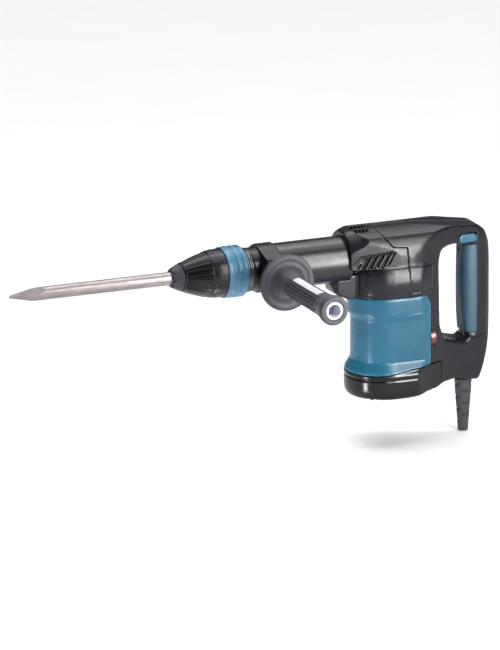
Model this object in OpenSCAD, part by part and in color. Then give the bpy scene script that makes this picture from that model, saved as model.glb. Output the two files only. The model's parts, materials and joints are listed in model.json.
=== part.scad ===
/* [Tool bit] */
// Diameter of the tool bit
bit_diameter = 18; // [14:0.5:22]
// Length of bit that stands out in front of the nose
bit_reach = 234; // [120:1:320]
// Length of the four-sided point
bit_point_length = 52; // [20:1:80]
// Free travel of the bit between its locking rollers
bit_travel = 22; // [8:1:26]

/* [Chuck] */
// Length of the rubber nose cap
cap_length = 14; // [12:0.5:22]
// Outer radius of the release cover at its rear
cover_radius = 33; // [28:0.5:36]
// Outer radius of the change ring
ring_radius = 35.2; // [34.5:0.1:38]

/* [Barrel and side grip] */
// Outer radius of the barrel
barrel_radius = 31.5; // [29:0.5:34]
// Radius of the barrel seat inside the handle band
band_seat_radius = 28; // [26:0.5:29]
// Position of the side grip along the barrel
grip_x = 135; // [130:1:140]
// Distance from the barrel axis to the end of the side grip
grip_reach = 240; // [180:1:260]
// Radius of the round hand guard
guard_radius = 39; // [30:0.5:44]
// Radius of the hole in the end of the grip
grip_bore_radius = 9; // [6:0.25:10]

/* [Housing] */
// Position of the motor axis behind the nose
motor_x = 313; // [311:0.5:315]
// Radius of the upper band of the motor housing
motor_band_radius = 49; // [47:0.25:50]
// Radius of the motor housing wall
motor_wall_radius = 44.7; // [44:0.1:46]
// Radius of the motor housing skirt
motor_skirt_radius = 52.4; // [50:0.1:54]
// Height of the bottom of the base
base_bottom = -193; // [-195:0.5:-189]
// Half width of the rear handle at the grip
handle_half_width = 17.5; // [15:0.25:20]
// Radius of the hole through the cord guard
cord_bore_radius = 4; // [3:0.25:5]

/* [Drive] */
// Teeth of the crank gear
gear_teeth = 40; // [40:1:40]
// Teeth of the motor pinion
pinion_teeth = 10; // [10:1:10]
// Offset of the crank pin
crank_throw = 13; // [8:0.5:13]
// Length of the connecting rod
rod_length = 60; // [58:1:62]
// Radius of the piston
piston_radius = 19; // [17:0.5:20]

/* [Hidden] */
$fn = 64;
run_fit = 0.08;
charcoal = [0.13, 0.13, 0.145];
black = [0.075, 0.075, 0.08];
teal = [0.12, 0.36, 0.44];
light_teal = [0.2, 0.47, 0.6];
steel = [0.66, 0.66, 0.68];
dark_steel = [0.36, 0.36, 0.38];
alu = [0.72, 0.73, 0.75];
copper = [0.72, 0.42, 0.22];
brass = [0.78, 0.63, 0.3];
white = [0.93, 0.93, 0.95];
red = [0.62, 0.1, 0.07];
rubber = [0.1, 0.1, 0.105];

bit_r = bit_diameter / 2;
bit_rear = 84;
roller_r = 3.6;
roller_y = 11;
roller_x0 = 40;
roller_x1 = 54;
bore_r = bit_r + run_fit;
holder_r = 15.5;
crank_x = motor_x - 25;
pin_x = crank_x - crank_throw;
wrist_x = pin_x - rod_length;
pivot_y = -58;
bolt_r = 12;
label_turn = -11;
cyl_r0 = piston_radius + run_fit;
cyl_r1 = 22.6;
wire_hole_r = 4;
boot_x = 432;
dial_x = 370.2;
dial_y = -28.5;
dial_z = -114;

function unit2(v) = v / norm(v);
function wrap(a) = ((a + 900) % 360) - 180;
function arc_corner(a, b, c, r, n) =
  let(u = unit2(a - b), v = unit2(c - b), h = acos(u * v) / 2)
  let(m = b + unit2(u + v) * (r / sin(h)), p = b + u * (r / tan(h)), q = b + v * (r / tan(h)))
  let(a0 = atan2(p[1] - m[1], p[0] - m[0]), a1 = atan2(q[1] - m[1], q[0] - m[0]))
  let(d = wrap(a1 - a0))
  [for (i = [0:n]) m + r * [cos(a0 + d * i / n), sin(a0 + d * i / n)]];
function xy(p) = [p[0], p[1]];
function fillet_points(p, n = 4) = [for (i = [0:len(p) - 1])
  let(k = len(p))
  each (p[i][2] > 0
    ? arc_corner(xy(p[(i + k - 1) % k]), xy(p[i]), xy(p[(i + 1) % k]), p[i][2], n)
    : [xy(p[i])])];
function mirror_profile(p) = concat(p, [for (i = [len(p) - 1:-1:0]) [-p[i][0], p[i][1]]]);
function flip(p) = concat([for (q = p) q], [for (i = [len(p) - 1:-1:0]) [p[i][0], -p[i][1]]]);

module lathe_x(p) {
  rotate([0, 90, 0])
    rotate_extrude()
      polygon(p);
}
module lathe_y(p) {
  rotate([90, 0, 0])
    rotate_extrude()
      polygon(p);
}
module lathe_z(p) {
  rotate_extrude()
    polygon(p);
}
module rod_x(r, x0, x1) {
  translate([x0, 0, 0])
    rotate([0, 90, 0])
      cylinder(r = r, h = x1 - x0);
}
module rod_y(r, y0, y1) {
  translate([0, y1, 0])
    rotate([90, 0, 0])
      cylinder(r = r, h = y1 - y0);
}
module rod_z(r, z0, z1) {
  translate([0, 0, z0])
    cylinder(r = r, h = z1 - z0);
}
module cylinder_six(r, z0, z1) {
  translate([0, 0, z0])
    cylinder(r = r, h = z1 - z0, $fn = 6);
}
module block(x0, x1, y0, y1, z0, z1) {
  translate([x0, y0, z0])
    cube([x1 - x0, y1 - y0, z1 - z0]);
}
module side_plate(p, y0, y1) {
  translate([0, y1, 0])
    rotate([90, 0, 0])
      linear_extrude(height = y1 - y0)
        polygon(p);
}
module plan_plate(p, z0, z1) {
  translate([0, 0, z0])
    linear_extrude(height = z1 - z0)
      polygon(p);
}
module section_bar(p, x0, x1) {
  translate([x0, 0, 0])
    rotate([90, 0, 90])
      linear_extrude(height = x1 - x0)
        polygon(p);
}
module d_body(p, x1) {
  translate([motor_x, 0, 0])
    lathe_z(concat([[0, p[0][1]]], p, [[0, p[len(p) - 1][1]]]));
  section_bar(mirror_profile(p), motor_x, x1);
}

// ---- tool bit and chuck ----

module bull_point_bit() {
  taper = [[-bit_reach, 1.5], [-bit_reach + bit_point_length, 9.2], [bit_rear + 1, 9.2]];
  color(steel)
    difference() {
      intersection() {
        lathe_x([[0, -bit_reach], [bit_r, -bit_reach], [bit_r, bit_rear - 1.5],
          [bit_r - 1.5, bit_rear], [0, bit_rear]]);
        rotate([45, 0, 0])
          side_plate(flip(taper), -12, 12);
        rotate([135, 0, 0])
          side_plate(flip(taper), -12, 12);
      }
      for (s = [-1, 1])
        block(roller_x0 - 0.6, roller_x1 + bit_travel + 0.6, -4.2, 4.2,
          s > 0 ? 6.9 : -12, s > 0 ? 12 : -6.9);
      for (s = [-1, 1])
        block(30, bit_rear + 1, s > 0 ? 7 : -12, s > 0 ? 12 : -7, -2.5, 2.5);
    }
}
module nose_cap() {
  color(rubber)
    lathe_x([[9.8, 0], [12, 0], [12.8, 0.8], [14.4, 4.2], [16.8, 8.6], [18.3, cap_length - 2.8],
      [17.6, cap_length - 1.9], [18.4, cap_length - 1], [18.4, cap_length], [13.6, cap_length],
      [13.6, 6.2], [9.8, 6.2]]);
}
module cover_body() {
  r = cover_radius;
  lathe_x([[holder_r + 0.5, cap_length + 0.4], [18.6, cap_length + 0.4],
    [19.6, cap_length + 1.2], [23.2, 25], [26.4, 34], [29.1, 43],
    [31, 51], [32.2, 57], [r - 0.2, 62], [r, 66], [r, 72.4], [r - 0.6, 73], [r - 3, 73],
    [r - 3, 60], [28.3, 53], [25.6, 44], [22.4, 34], [20.4, 28], [holder_r + 0.5, 28]]);
}
module release_cover() {
  color(charcoal)
    difference() {
      cover_body();
      for (k = [0:5])
        for (j = [-1.5:1:1.5])
          rotate([k * 60 + j * 10.5 + 30, 0, 0])
            translate([21.5, 0, 22.3])
              rotate([0, 72.6, 0])
                cylinder(r = 1.5, h = 36);
    }
}
module roller_ring() {
  color(dark_steel)
    lathe_x([[holder_r + 0.4, 30.5], [20, 30.5], [20, 57], [holder_r + 0.4, 57]]);
}
function coil_points(x, turns, n, r, w, m) = [for (i = [0:turns * n]) for (j = [0:m - 1])
  let(a = 360 * i / n, b = 360 * j / m, p = x[0] + (x[1] - x[0]) * i / (turns * n))
  [p + w * cos(b), (r + w * sin(b)) * cos(a), (r + w * sin(b)) * sin(a)]];
module release_spring() {
  n = 20;
  m = 8;
  t = 4;
  k = t * n;
  sides = [for (i = [0:k - 1]) for (j = [0:m - 1]) for (f = [0, 1])
    let(a = i * m + j, b = i * m + (j + 1) % m)
    f == 0 ? [a, b, b + m] : [a, b + m, a + m]];
  color(steel)
    polyhedron(points = coil_points([58.7, 80.4], t, n, 18.4, 1.2, m),
      faces = concat(sides, [[for (j = [m - 1:-1:0]) j]], [[for (j = [0:m - 1]) k * m + j]]));
}
module change_ring() {
  r = ring_radius;
  color(light_teal)
    lathe_x([[cover_radius + 0.45, 73], [r - 1, 73], [r - 0.3, 73.8], [r - 0.3, 80], [r, 81],
      [r, 83.4], [r - 1, 84.6], [r - 1, 86.4], [r, 87.6], [r, 92], [r - 1, 93.2], [r - 1, 95],
      [r, 96.2], [r, 100.4], [r - 1.2, 102.6], [r - 4, 103.5], [18, 103.5], [holder_r + 0.4, 101],
      [holder_r + 0.4, 91], [18, 89], [cover_radius + 0.45, 89]]);
}
module tool_holder() {
  color(dark_steel)
    difference() {
      lathe_x([[bore_r, 6.4], [12.5, 6.4], [13.5, 7.4], [13.5, 17.2], [holder_r, 17.2],
        [holder_r, 111.5],
        [22, 111.5], [22, 133], [bolt_r + run_fit, 133], [bolt_r + run_fit, 90], [bore_r, 86]]);
      for (s = [-1, 1])
        block(roller_x0 - 0.2, roller_x1 + 0.2, -3.8, 3.8, s > 0 ? 5 : -20, s > 0 ? 20 : -5);
    }
}
module lock_rollers() {
  color(steel)
    for (s = [-1, 1])
      translate([0, 0, s * roller_y])
        rod_x(roller_r, roller_x0, roller_x1);
}
module spring_seat() {
  color(dark_steel)
    lathe_x([[holder_r + 0.05, 82], [22, 82], [22, 83.6], [holder_r + 0.05, 83.6]]);
}
module impact_bolt() {
  color(steel)
    lathe_x([[0, 90.4], [8, 90.4], [8.6, 91], [8.6, 100], [bolt_r, 103], [bolt_r, 126],
      [9, 130], [9, 134.5], [8, 135.5], [0, 135.5]]);
}

// ---- barrel, band and side grip ----

module front_ring() {
  color(alu)
    lathe_x([[holder_r + 0.4, 104.6], [29, 104.6], [30, 105.4], [30, 107], [28.6, 107.6],
      [28.6, 108.6], [30.2, 109.2], [30.2, 110.6], [holder_r + 0.4, 110.6]]);
}
module barrel() {
  r = barrel_radius;
  b = band_seat_radius;
  color(charcoal)
    difference() {
      lathe_x([[22 + run_fit, 110.8], [b, 110.8], [b, 150.6], [r - 0.8, 150.6], [r, 151.4],
        [r, 256], [cyl_r1 + 0.05, 256], [cyl_r1 + 0.05, 137], [22 + run_fit, 135]]);
      block(176, 236, -8, 8, r - 0.35, r + 2);
    }
}
module handle_band() {
  b = band_seat_radius + run_fit;
  color(charcoal)
    difference() {
      union() {
        lathe_x([[20, 112], [29, 112], [29.6, 112.6], [29.6, 124], [33, 124], [33, 150],
          [20, 150]]);
        section_bar([[8, 33], [-2, 33], [-40.5, 22.5], [-44, 18], [-44, -18], [-40.5, -22.5],
          [-2, -33], [8, -33]], 124, 150);
        translate([grip_x, pivot_y, 0])
          rod_z(12, -9, 9);
        block(grip_x - 11, grip_x + 12, pivot_y, -40, -9, 9);
      }
      rod_x(b, 111, 151);
      translate([grip_x, pivot_y, 0])
        rod_z(5.1, -30, 30);
    }
}
module band_bolt() {
  color(steel)
    translate([grip_x, pivot_y, 0]) {
      rod_z(5, -23.4, 17.5);
      rod_z(8, 17.5, 22.5);
    }
}
module grip_arm() {
  color(dark_steel)
    difference() {
      union() {
        translate([grip_x, pivot_y, 0]) {
          rod_z(11, 9.4, 17.1);
          rod_z(11, -17.1, -9.4);
        }
        block(grip_x - 9, grip_x + 9, -77, pivot_y - 2, 9.4, 17.1);
        block(grip_x - 9, grip_x + 9, -77, pivot_y - 2, -17.1, -9.4);
        translate([grip_x, 0, 0])
          rod_y(18.5, -78.8, -72.5);
        translate([grip_x, 0, 0])
          rod_y(8, -150, -76);
      }
      translate([grip_x, pivot_y, 0])
        rod_z(5 + run_fit, -30, 30);
    }
}
module clamp_nut() {
  color(dark_steel)
    translate([grip_x, pivot_y, 0])
      difference() {
        cylinder_six(8.5, -24, -17.5);
        rod_z(5.05, -30, -10);
      }
}
module grip_core() {
  e = -grip_reach;
  color(white)
    translate([grip_x, 0, 0])
      difference() {
        lathe_y([[8.1, 84], [12, 84], [12, -e - 12], [12.6, -e - 9], [12.6, -e - 0.8],
          [12, -e], [grip_bore_radius, -e], [grip_bore_radius, -e - 62], [8.1, -e - 64]]);
        translate([-1.5, e + 61, -12])
          cube([3, 12, 9]);
      }
}
function grip_profile(e) = [[19, 79.2], [33, 79.2], [guard_radius - 1, 80], [guard_radius, 81.6],
  [guard_radius, 84], [guard_radius - 1.4, 86], [34, 85.6], [26, 87], [20, 91], [17, 96],
  [16.2, 101], [16, 115], [15.6, 165], [16.2, 205], [17.6, 220], [19.6, 229], [20.6, 234],
  [20.4, e - 1.6], [19, e], [13.8, e], [12.7, e - 1.4], [12.7, e - 12], [12.1, e - 12.4],
  [12.1, 84.2], [19, 84.2]];
module grip_sleeve() {
  e = grip_reach;
  color(rubber)
    translate([grip_x, 0, 0])
      difference() {
        lathe_y(grip_profile(e));
        for (k = [1:5])
          rotate([0, k * 60 + label_turn, 0])
            translate([0, -212, 14.6])
              for (j = [-1:1])
                translate([j * 4.2 - 1.3, 0, j == 0 ? 0 : -0.9])
                  cube([2.6, 100, 6]);
        rotate([0, label_turn, 0])
          translate([0, -200, 15.5])
            translate([-6.2, 0, -1.6])
              cube([12.4, 78, 8]);
      }
}
module grip_label() {
  color(white)
    translate([grip_x, 0, 0])
      rotate([0, label_turn, 0])
        translate([-6, -199.8, 13.95])
          cube([12, 77.6, 1.1]);
}

// ---- striking mechanism ----

module cylinder_liner_profile() {
  lathe_x([[cyl_r0, 137.3], [cyl_r1, 137.3], [cyl_r1, 262], [cyl_r0, 262]]);
}
module cylinder_node() {
  color(steel)
    difference() {
      cylinder_liner_profile();
      for (k = [0:5])
        rotate([k * 60, 0, 0])
          translate([186, 0, 15])
            cylinder(r = 2.5, h = 15);
    }
}
module striker() {
  color(steel)
    lathe_x([[0, 138.2], [9, 138.2], [10, 139.2], [10, 148], [piston_radius, 150],
      [piston_radius, 160], [piston_radius - 2.2, 160], [piston_radius - 2.2, 164],
      [piston_radius, 164], [piston_radius, 176.5], [piston_radius - 1, 177.5], [0, 177.5]]);
}
module striker_ring() {
  color(rubber)
    lathe_x([[piston_radius - 2.1, 160.3], [piston_radius, 160.3], [piston_radius, 163.7],
      [piston_radius - 2.1, 163.7]]);
}
module piston() {
  x = wrist_x;
  r = piston_radius;
  color(alu)
    difference() {
      lathe_x([[0, x - 24], [r - 1, x - 24], [r, x - 23], [r, x - 19], [r - 2.2, x - 19],
        [r - 2.2, x - 15], [r, x - 15], [r, x + 22], [0, x + 22]]);
      translate([x - 9, 0, -8.5])
        linear_extrude(height = 17)
          polygon([[0, -9], [32, -16], [32, 16], [0, 9]]);
      translate([x, 0, 0])
        rod_z(5.05, -30, 30);
    }
}
module piston_ring() {
  x = wrist_x;
  r = piston_radius;
  color(rubber)
    lathe_x([[r - 2.1, x - 18.7], [r, x - 18.7], [r, x - 15.3], [r - 2.1, x - 15.3]]);
}
module wrist_pin() {
  color(steel)
    translate([wrist_x, 0, 0])
      rod_z(5, -17.5, 17.5);
}
module connecting_rod() {
  color(alu)
    difference() {
      union() {
        translate([wrist_x, 0, 0])
          rod_z(8.5, -7, 7);
        translate([pin_x, 0, 0])
          rod_z(12, -7, 7);
        block(wrist_x + 5, pin_x - 5, -5, 5, -6, 6);
      }
      translate([wrist_x, 0, 0])
        rod_z(5 + run_fit, -20, 20);
      translate([pin_x, 0, 0])
        rod_z(6.1, -20, 20);
    }
}
module crank_shaft() {
  color(steel)
    translate([crank_x, 0, 0]) {
      rod_z(6, -65, -30);
      rod_z(20, -30, -20);
      translate([-crank_throw, 0, 0])
        rod_z(6, -20, -7.4);
    }
}
function inv_x(b, t) = b * [cos(t) + t * PI / 180 * sin(t), sin(t) - t * PI / 180 * cos(t)];
function inv_t(b, r) = sqrt(pow(r / b, 2) - 1) * 180 / PI;
function turn2(p, a) = [p[0] * cos(a) - p[1] * sin(a), p[0] * sin(a) + p[1] * cos(a)];
function half_tooth(z, m, back) = 90 / z - back / (m * z) * 180 / PI
  + (tan(20) * 180 / PI - 20);
function tooth(z, m, add, ded, back, n) =
  let(rp = m * z / 2, rb = rp * cos(20), ro = rp + add, ri = rp - ded, h = half_tooth(z, m, back))
  let(r0 = max(rb, ri), t0 = inv_t(rb, r0), t1 = inv_t(rb, ro))
  let(f = [for (i = [0:n]) turn2(inv_x(rb, t0 + (t1 - t0) * i / n), -h)])
  let(s = atan2(f[0][1], f[0][0]))
  concat([ri * [cos(s), sin(s)]], f, [for (i = [n:-1:0]) [f[i][0], -f[i][1]]],
    [ri * [cos(s), -sin(s)]]);
function gear_points(z, m, add, ded, back, n, a0) = [for (k = [0:z - 1])
  for (p = tooth(z, m, add, ded, back, n)) turn2(p, 360 * k / z + a0)];
module crank_gear() {
  color(steel)
    translate([crank_x, 0, -57])
      difference() {
        linear_extrude(height = 7)
          polygon(gear_points(gear_teeth, 1, 0.75, 1.15, 0.12, 3, 0));
        translate([0, 0, -1])
          cylinder(r = 6.03, h = 12);
        for (k = [0:5])
          rotate([0, 0, k * 60 + 30])
            translate([12.5, 0, -1])
              cylinder(r = 3, h = 12);
      }
}
module bearing(x, z0, z1, r0, r1) {
  translate([x, 0, 0])
    difference() {
      rod_z(r1, z0, z1);
      rod_z(r0, z0 - 1, z1 + 1);
      translate([0, 0, z1 - 0.6])
        difference() {
          cylinder(r = r1 - 1.8, h = 2);
          translate([0, 0, -1])
            cylinder(r = r0 + 1.6, h = 4);
        }
    }
}
module crank_bearings() {
  color(steel) {
    bearing(crank_x, -46, -33, 6.05, 12);
    bearing(crank_x, -66, -59, 6.05, 11);
  }
}
module case_plate(z0, z1, w) {
  intersection() {
    plan_plate(fillet_points([[262 - w, -34 - w, 8], [330 + w, -34 - w, 8],
      [330 + w, 34 + w, 8], [262 - w, 34 + w, 8]]), z0, z1);
    translate([motor_x, 0, 0])
      rod_z(45.7 + w, z0 - 1, z1 + 1);
  }
}
module crank_case() {
  x = crank_x;
  color(alu)
    difference() {
      union() {
        case_plate(-67, -59.4, 0);
        case_plate(-46, -33, 0);
        for (s = [-1, 1]) {
          translate([287, s * 28, 0])
            rod_z(4, -60, -45);
          translate([323, s * 26, 0])
            rod_z(5, -60, -45);
        }
      }
      translate([x, 0, 0])
        rod_z(12.05, -47, -32);
      translate([x, 0, 0])
        rod_z(11.05, -70, -58);
      translate([motor_x, 0, 0])
        rod_z(11.05, -70, -58);
    }
}

// ---- motor ----

module stator() {
  color(dark_steel)
    translate([motor_x, 0, 0])
      difference() {
        rod_z(38, -141, -92);
        rod_z(26, -142, -91);
        for (s = [-1, 1])
          rotate([0, 0, s > 0 ? 0 : 180])
            block(24, 32.6, -16.4, 16.4, -142, -91);
      }
}
module stator_coils() {
  color(copper)
    translate([motor_x, 0, 0])
      for (s = [-1, 1])
        rotate([0, 0, s > 0 ? 0 : 180])
          difference() {
            block(26.6, 32.2, -16, 16, -149, -84);
            block(25, 34, -10, 10, -142, -91);
          }
}
module armature_core() {
  color(dark_steel)
    translate([motor_x, 0, 0])
      difference() {
        rod_z(25.2, -141, -92);
        rod_z(6.05, -142, -91);
        for (k = [0:11])
          rotate([0, 0, k * 30])
            block(15, 30, -1.8, 1.8, -142, -91);
      }
}
module armature_windings() {
  color(copper)
    translate([motor_x, 0, 0]) {
      lathe_z([[6.05, -152], [18, -152], [22, -148], [22, -141.2], [6.05, -141.2]]);
      lathe_z([[6.05, -91.8], [22, -91.8], [22, -86], [18, -82], [6.05, -82]]);
      for (k = [0:11])
        rotate([0, 0, k * 30])
          block(15.2, 23.6, -1.6, 1.6, -141.3, -91.7);
    }
}
module commutator() {
  color(brass)
    translate([motor_x, 0, 0])
      difference() {
        rod_z(14, -172, -154);
        rod_z(6.05, -173, -153);
        for (k = [0:23])
          rotate([0, 0, k * 15])
            block(12.8, 16, -0.3, 0.3, -173, -155.5);
      }
}
module motor_shaft() {
  color(steel)
    translate([motor_x, 0, 0])
      difference() {
        union() {
          rod_z(6, -181, -58.4);
          rod_z(4, -187, -180);
          translate([0, 0, -58.5])
            linear_extrude(height = 10)
              polygon(gear_points(pinion_teeth, 1, 0.75, 1.15, 0.12, 4, 180 + 180 / pinion_teeth));
        }
      }
}
module fan() {
  color(black)
    translate([motor_x, 0, 0]) {
      difference() {
        union() {
          rod_z(10, -81.2, -70.9);
          rod_z(36, -73.4, -71.4);
          for (k = [0:11])
            rotate([0, 0, k * 30])
              block(9, 35.5, -0.8, 0.8, -80.4, -72.4);
        }
        rod_z(6.05, -82, -68);
      }
    }
}
module motor_bearings() {
  color(steel) {
    bearing(motor_x, -66.5, -59.6, 6.05, 11);
    bearing(motor_x, -186.5, -181.2, 4.05, 11);
  }
}
module brush_holders() {
  color(brass)
    translate([motor_x, 0, 0])
      for (s = [-1, 1])
        rotate([0, 0, s * 90])
          difference() {
            block(17, 37, -6, 6, -169, -157);
            block(16, 35, -4, 4, -167, -159);
          }
}
module carbon_brushes() {
  color(black)
    translate([motor_x, 0, 0])
      for (s = [-1, 1])
        rotate([0, 0, s * 90])
          block(14.4, 30, -3.8, 3.8, -166.8, -159.2);
}

// ---- housings ----

function wall_profile() = [[motor_skirt_radius, -157.6], [motor_skirt_radius, -156],
  [motor_skirt_radius - 0.4, -154.4], [motor_wall_radius + 0.4, -142.4],
  [motor_wall_radius, -140.6], [motor_wall_radius, -84.5],
  [motor_wall_radius + 0.8, -81.5], [motor_band_radius - 1, -77.5], [motor_band_radius, -74.5],
  [motor_band_radius, -53.4], [motor_band_radius - 1.2, -50.4]];
function cover_profile() = [[47.4, -55.4], [48.4, -52.6], [48.9, -45], [49, -30], [48.4, -18],
  [47, -9.6], [46, -9]];
rear_outline = [[366, -41.6], [380, -36.6], [392, -31.8], [404, -27.8], [416, -24.4],
  [430, -21.6], [444, -19.4], [454, -17.2], [462, -13.8], [467.2, -7.8], [469.2, 0]];
plan_outline = concat([[250, -36], [262, -38.5], [290, -43], [318, -46], [338, -46.6],
  [352, -45.2]], rear_outline);
low_outline = concat([[240, -60], [338, -60], [345, -51.5], [354, -47]], rear_outline);
grip_outline = [[425.6, 0], [426.1, -6], [428, -11], [431.6, -14.8], [436, -16.8],
  [442, -handle_half_width], [450, -17.2], [457, -15.4], [464, -11.6], [468, -5.4],
  [469.2, 0]];
crown = [[47.4, -62], [47.4, -9], [46.6, 6], [44.8, 19], [42.2, 26.4], [38, 33], [36.4, 34.2],
  [27, 37.6], [14, 40.8], [0, 42.4]];
function wide(p, w) = [for (q = p) [q[0], q[1] + w]];
motor_side = fillet_points([[255, -157.6, 0], [286, -157.6, 0], [300, -156.6, 0],
  [322, -153.8, 0], [346, -150.6, 0], [366, -148.6, 0], [366, -64, 12], [358, -50.5, 8], [333, -51.4, 0], [300, -50.7, 0],
  [264, -53.3, 0], [255, -54.1, 0]]);
cover_seam = [[292.8, 60], [292.8, 43.6], [300, 31], [309, 19.8], [329, 17.4], [333, -51],
  [300, -50.3], [264, -52.9]];

module skin_z(z0, z1, w = 0) {
  plan_plate(flip(wide(plan_outline, w)), z0, z1);
}
module front_shape() {
  intersection() {
    union() {
      intersection() {
        d_body(cover_profile(), 345);
        block(240, 345, -60, 60, -58, -8.9);
      }
      intersection() {
        skin_z(-9, 60);
        section_bar(mirror_profile(crown), 240, 345);
        side_plate([[252, -10], [246, 7], [243, 20], [243, 33], [254, 39.6], [264, 41.4],
          [278, 42.4], [293, 42.6], [345, 42.6], [345, -10]], -60, 60);
        lathe_x([[0, 243], [32.6, 243], [35.8, 246], [38.3, 249.5], [40.6, 254], [43.2, 261],
          [46, 268], [53, 279], [75, 300], [75, 345], [0, 345]]);
      }
      intersection() {
        side_plate(fillet_points([[229, -20, 0], [229, -27, 4], [236, -45, 10], [256, -54, 0],
          [270, -54, 0], [270, -20, 0]]),
          -19, 19);
        translate([252, 0, 0])
          rod_z(23, -60, -20);
      }
    }
    side_plate(concat([[225, 60]], cover_seam, [[225, -56.4]]), -60, 60);
  }
}
module louvre(i, width, y0, y1) {
  side_plate([for (q = [[0, 0], [width, 0], [width + 10, 18], [10, 18]])
    [q[0] + 257.4 + i * 9.4, q[1] - 10.4 + i * 1.3]], y0, y1);
}
module crank_cover() {
  color(charcoal)
    difference() {
      front_shape();
      rod_x(barrel_radius + 0.1, 220, 256.5);
      rod_x(cyl_r1 + 0.4, 256, 272);
      intersection() {
        side_plate([[256.4, 30], [262, 36], [288, 37.5], [296, 25], [304, 13.8], [340, 11.4],
          [340, -12], [256.4, -12]], -42, 42);
        plan_plate(flip([[250, -31], [262, -34.6], [290, -39.2], [318, -42], [345, -42]]),
          -80, 60);
        section_bar([[-43, -80], [-43, 6], [-39, 22], [-36, 27], [-28, 32.4], [-14, 37.6],
          [14, 37.6], [28, 32.4], [36, 27], [39, 22], [43, 6], [43, -80]], 240, 350);
        lathe_x([[0, 243], [36, 256], [42, 268], [66, 300], [66, 345], [0, 345]]);
      }
      intersection() {
        d_body([[46.2, -70], [46.2, -8]], 345);
        block(256.4, 345, -44, 44, -70, -11.9);
      }
      for (i = [0:3])
        for (y = [-15, 0, 15])
          translate([266 + i * 5.4, y, 30])
            rotate([0, 0, -16])
              translate([-1.6, -5.8, 0])
                cube([3.2, 11.6, 30]);
      for (s = [-1, 1])
        for (i = [0:4])
          louvre(i, 2.6, s > 0 ? 33 : -50, s > 0 ? 50 : -33);
      difference() {
        for (i = [0:4])
          louvre(i, 7.2, -60, 60);
        plan_plate(flip(wide(plan_outline, 2.7)), -30, 30);
        block(240, 320, -60, 60, -30, -8.9);
      }
      difference() {
        side_plate(fillet_points([[253, -1, 2], [264, 10, 2], [309, 14.6, 1], [299, -2, 2],
          [290, -12.6, 2], [258, -12.6, 2]]), -60, 60);
        plan_plate(flip(wide(plan_outline, 1.3)), -30, 30);
        block(240, 320, -60, 60, -30, -8.9);
      }
    }
}
module motor_housing() {
  w = motor_wall_radius - 3;
  color(teal)
    difference() {
      intersection() {
        d_body(wall_profile(), 370);
        side_plate(motor_side, -60, 60);
        plan_plate(flip(low_outline), -170, -40);
      }
      intersection() {
        union() {
            translate([motor_x, 0, 0])
              rod_z(w, -160, -70.4);
            block(motor_x, 361, -w, w, -160, -70.4);
          }
        plan_plate([[260, -60], [338, -60], [345, -w + 2], [361, -36], [361, 36], [345, w - 2],
          [338, 60], [260, 60]], -170, -60);
      }
      case_plate(-67.4, -50, 0.4);
      translate([motor_x, 0, 0])
        rod_z(7, -71, -60);
    }
}
function base_profile() = [[44, base_bottom], [48.4, base_bottom + 1.3],
  [51.2, base_bottom + 4.4], [52.6, base_bottom + 9], [53, base_bottom + 14], [53, -166],
  [51.8, -165.2], [51.8, -163.4], [53, -162.6], [53, -158.6], [52.4, -157.8]];
module base_cover() {
  color(black)
    difference() {
      intersection() {
        union() {
          d_body(base_profile(), 384);
          intersection() {
            d_body([[52, -158], [52, -140]], 384);
            block(284, 384, -60, 60, -158, -140);
          }
        }
        side_plate([[255, base_bottom - 1], [322, base_bottom - 1], [346, -191],
          [368, -187.4], [384, -181.8], [384, -148.8], [366, -148.8], [346, -150.8],
          [322, -154], [300, -156.8], [286, -157.8], [255, -157.8]], -60, 60);
        plan_plate(flip(low_outline), -200, -140);
      }
      difference() {
        union() {
          translate([motor_x, 0, 0])
            rod_z(47, -188.4, -150);
          block(motor_x, 360, -44, 44, -188.4, -150);
        }
        translate([motor_x, 0, 0])
          difference() {
            rod_z(15, -190, -181);
            rod_z(11.05, -186.6, -180);
            rod_z(5, -187.8, -180);
          }
      }
      for (s = [-1, 1]) {
        translate([282, s * 34, 0])
          rod_z(4.4, -197, -191);
        translate([346, s * 32, 0])
          rod_z(4.4, -197, -188.4);
      }
      for (k = [0:3])
        block(334 + k * 6, 337 + k * 6, -16, 16, -197, -184);
    }
}
module base_screws() {
  color(steel)
    for (s = [-1, 1])
      for (x = [[282, 34, -191.1], [346, 32, -188.5]])
        translate([x[0], s * x[1], x[2]])
          difference() {
            translate([0, 0, -1.6])
              cylinder(r = 4.2, h = 1.6);
            translate([0, 0, -2.6])
              cylinder(r = 1.9, h = 2.2, $fn = 6);
          }
}

// ---- rear handle ----

arm_side = fillet_points([[293.4, 42.8, 0], [338, 42.5, 0], [385, 39, 0], [420, 35.2, 0],
  [444, 32.4, 12], [457.5, 22, 12], [465, 3, 12], [468.2, -20, 0], [469.2, -50, 0],
  [469, -86, 0], [466, -125, 0], [461, -150, 0], [455.5, -168, 10], [448, -186, 5], [434, -184.8, 0],
  [410, -178.8, 0], [384.4, -181.4, 0], [384.4, -148.4, 0], [366.4, -148.4, 0],
  [366.4, -64, 12.4], [358.2, -50.1, 8], [333.4, -51, 0], [329.4, 17.8, 0], [309.2, 20.2, 0],
  [300.4, 31.2, 0]]);
core_front = [[425.6, 10], [425.6, -60], [430.2, -124]];
finger_gap = fillet_points([[380, -10, 0], [384, 6, 8], [398, 9.4, 10], [426, 9.4, 2],
  [426, -60, 0], [430.6, -124, 0], [428, -129.5, 4], [410, -126, 6], [390, -120, 10],
  [382, -98, 12]]);
module grip_column(w, d) {
  intersection() {
    plan_plate(flip([for (q = grip_outline) [q[0] - d, q[1] * w]]), -130, 20);
    side_plate(concat([for (q = core_front) [q[0] - d, q[1]]],
      [[430.2 - d, -130], [480, -130], [480, 20], [425.6 - d, 20]]), -60, 60);
  }
}
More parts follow.
